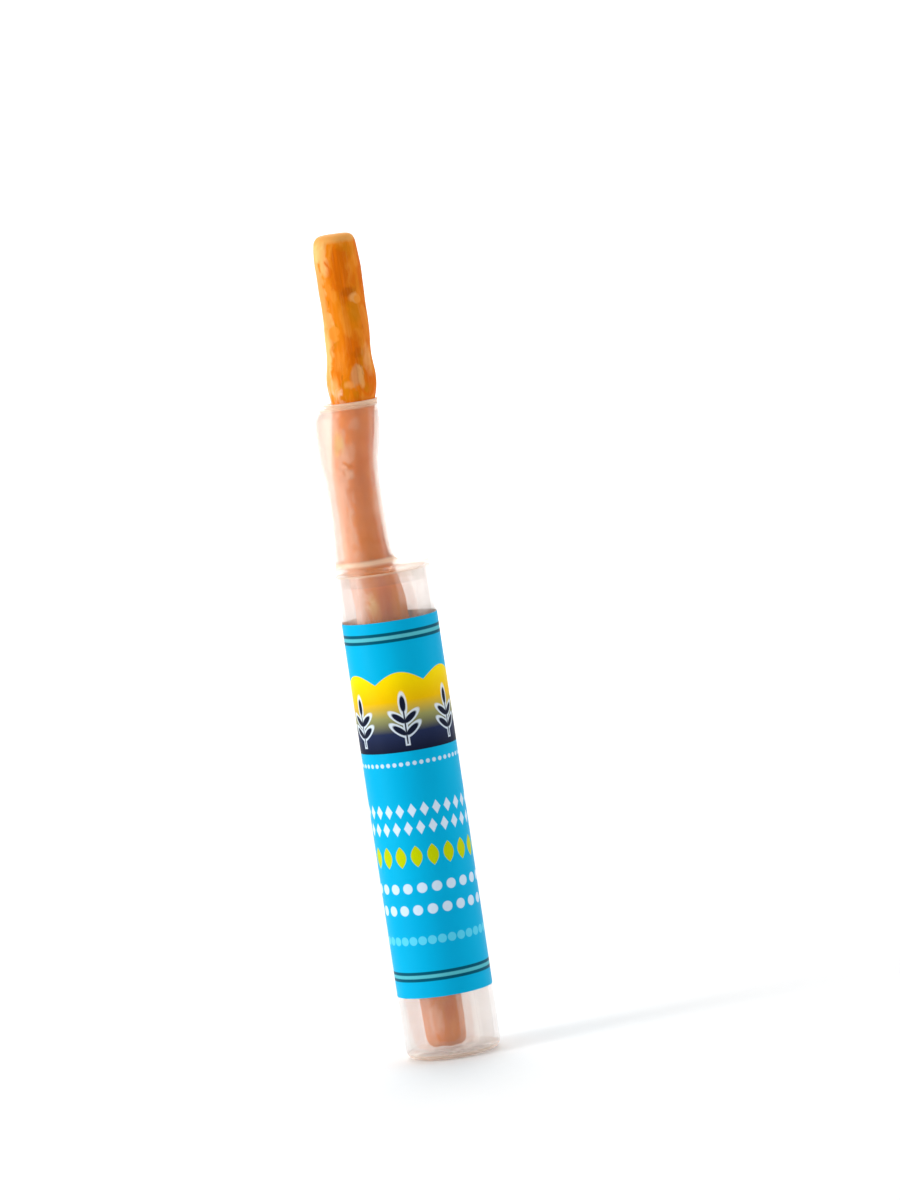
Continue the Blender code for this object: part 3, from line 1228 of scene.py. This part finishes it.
@dataclass
class Label:
    """The printed film, rolled once round the tube with a narrow lap at the back."""

    node: Piece
    tube_radius: float
    air: float = 0.00004
    thickness: float = 0.00007
    lap: float = 0.0045
    steps_round: int = 180
    steps_up: int = 12
    crease: float = 40.0

    def build(self) -> Piece:
        """Models the film.

        Returns:
            The film, dressed.
        """
        low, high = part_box(self.node.name)
        radius = self.tube_radius + self.air
        turn_length = 2 * math.pi * radius
        length, height = turn_length + self.lap, high.z - low.z
        deselect_all()
        bpy.ops.mesh.primitive_grid_add(
            x_subdivisions=self.steps_round, y_subdivisions=self.steps_up, size=1.0
        )
        piece = bpy.context.object
        piece.name = "Label"
        self._roll(piece, radius, length, (low.z + high.z) / 2, height)
        apply_modifier(piece, "Film", "SOLIDIFY", thickness=self.thickness, offset=1.0)
        bpy.ops.object.shade_smooth_by_angle(angle=math.radians(self.crease))
        finish = PrintedFilm(
            length=turn_length * MM_PER_METRE,
            sheet_length=length * MM_PER_METRE,
            sheet_height=height * MM_PER_METRE,
            radius=radius,
            thickness=self.thickness,
        )
        return hand_over(piece, self.node.name, finish.material())

    def _roll(self, piece: Piece, radius: float, length: float, middle: float, height: float) -> None:
        """Rolls the flat grid round the tube, its far end lapping over its near one.

        Args:
            piece: The grid, which is one unit long and high.
            radius: The radius of the film's back.
            length: The film's whole length.
            middle: The height of the film's middle.
            height: The film's height.
        """
        for corner in piece.data.vertices:
            along = corner.co.x * length
            angle = -math.pi / 2 + along / radius
            past = (along - length / 2) / self.lap + 2
            reach = radius + (self.thickness + self.air) * clamped(past)
            corner.co = (reach * math.cos(angle), reach * math.sin(angle), middle + corner.co.y * height)


@dataclass(frozen=True)
class SoftBox:
    """A soft rectangular light of so many watts, which faces the point that it is aimed at."""

    name: str
    place: Point
    size: Pair
    power: float
    aim: Point = (0.0, 0.0, 0.1)

    def hang(self) -> None:
        """Hangs the light in its place."""
        light = bpy.data.lights.new(self.name, "AREA")
        light.shape = "RECTANGLE"
        light.size, light.size_y = self.size
        light.energy = self.power
        lamp = bpy.data.objects.new(self.name, light)
        bpy.context.scene.collection.objects.link(lamp)
        lamp.location = self.place
        towards = Vector(self.aim) - Vector(self.place)
        lamp.rotation_euler = towards.to_track_quat("-Z", "Y").to_euler()


@dataclass
class Studio:
    """The pale seamless floor, the soft lights and the camera at the photograph's angle."""

    image_width: float = 900.0
    image_height: float = 1200.0
    focal_pixels: float = 6600.0
    sensor_mm: float = 36.0
    view_reach: float = 20.0
    distance: float = 1.407
    elevation: float = 4.9
    lean: float = 8.5
    aim_height: float = 0.1060
    aim_x_pixel: float = 381.7
    aim_y_pixel: float = 566.0
    paper_half: float = 2.9
    paper_front: float = 3.4
    paper_rise: float = 1.6
    paper_bend: float = 0.7
    paper_slack: float = 0.001
    air_strength: float = 0.45
    lights: tuple[SoftBox, ...] = (
        SoftBox("Key light", (-0.95, -0.28, 0.40), (0.45, 0.90), 8.4),
        SoftBox("Side light", (0.95, 0.10, 0.35), (0.35, 0.80), 2.5),
        SoftBox("Top light", (0.00, 0.90, 1.40), (1.00, 2.60), 20.0),
        SoftBox("Wall light", (0.00, 1.10, 1.10), (1.60, 0.50), 12.0, aim=(0.0, 2.4, 0.3)),
    )

    def build(self) -> None:
        """Sets up the floor, the lights, the world and the camera."""
        self._lay_paper()
        for light in self.lights:
            light.hang()
        self._fill_world()
        self._set_camera()

    def _lay_paper(self) -> None:
        """Lays the paper under the object and bends it up behind it."""
        deselect_all()
        far = 2 * self.paper_half - self.paper_front
        middle = (0.0, self.paper_half - self.paper_front, 0.0)
        bpy.ops.mesh.primitive_plane_add(size=2 * self.paper_half, location=middle)
        paper = bpy.context.object
        paper.name = "Studio_paper"
        fix_place(paper)
        back, low = far - self.paper_slack, self.paper_slack
        edit(paper, "EDGE", lambda edge: all(v.co.y > back for v in edge.verts))
        rise = (0.0, 0.0, self.paper_rise)
        bpy.ops.mesh.extrude_region_move(TRANSFORM_OT_translate={"value": rise})
        edit(paper, "EDGE", lambda edge: all(v.co.y > back and v.co.z < low for v in edge.verts))
        bpy.ops.mesh.bevel(offset=self.paper_bend, segments=24, affect="EDGES")
        settle(paper)
        paper.data.materials.append(StudioPaper().material())

    def _fill_world(self) -> None:
        """Fills the studio with even pale light."""
        scene = bpy.context.scene
        world = bpy.data.worlds.new("Studio air")
        world.use_nodes = True
        air = world.node_tree.nodes["Background"]
        air.inputs["Color"].default_value = (1.0, 1.0, 1.0, 1.0)
        air.inputs["Strength"].default_value = self.air_strength
        scene.world = world
        scene.view_settings.view_transform = "Standard"

    def _set_camera(self) -> None:
        """Places the camera so that the aimed point falls on its pixel of the image."""
        slope, lean = math.radians(self.elevation), math.radians(self.lean)
        ahead = Vector((0.0, math.cos(slope), -math.sin(slope)))
        level = Vector((1.0, 0.0, 0.0))
        upright = level.cross(ahead)
        right = math.cos(lean) * level - math.sin(lean) * upright
        up = math.sin(lean) * level + math.cos(lean) * upright
        place = Vector((0.0, 0.0, self.aim_height)) - self.distance * ahead
        from_left = (self.aim_x_pixel - self.image_width / 2) / self.focal_pixels
        from_foot = (self.image_height / 2 - self.aim_y_pixel) / self.focal_pixels
        ahead = (ahead - from_left * right - from_foot * up).normalized()
        right = (right - ahead * right.dot(ahead)).normalized()
        up = right.cross(ahead)
        lens = bpy.data.cameras.new("Camera")
        lens.sensor_width = self.sensor_mm
        lens.lens = self.focal_pixels / self.image_height * self.sensor_mm
        lens.clip_end = self.view_reach
        camera = bpy.data.objects.new("Camera", lens)
        bpy.context.scene.collection.objects.link(camera)
        columns = (right, up, -ahead)
        for row in range(3):
            for column, axis in enumerate(columns):
                camera.matrix_world[row][column] = axis[row]
            camera.matrix_world[row][3] = place[row]
        bpy.context.scene.camera = camera


def report(piece: Piece) -> None:
    """Logs a finished piece."""
    LOG.info("%s: %d faces", piece.name, len(piece.data.polygons))


def main() -> None:
    """Builds every piece in its place, then the studio."""
    logging.basicConfig(level=logging.INFO, format="%(name)s %(message)s")
    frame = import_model()
    nodes = frame["nodes"]
    tube_low, tube_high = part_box("holder_tube")
    _, collar_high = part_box("neck_collar")
    tube_radius = (tube_high.x - tube_low.x) / 2
    report(Stick(nodes["miswak_stick"], rim=collar_high.z).build())
    report(Collar(nodes["neck_collar"], mouth=tube_high.z, mouth_radius=tube_radius).build())
    report(Tube(nodes["holder_tube"]).build())
    report(Label(nodes["label"], tube_radius=tube_radius).build())
    Studio().build()


if __name__ == "__main__":
    main()
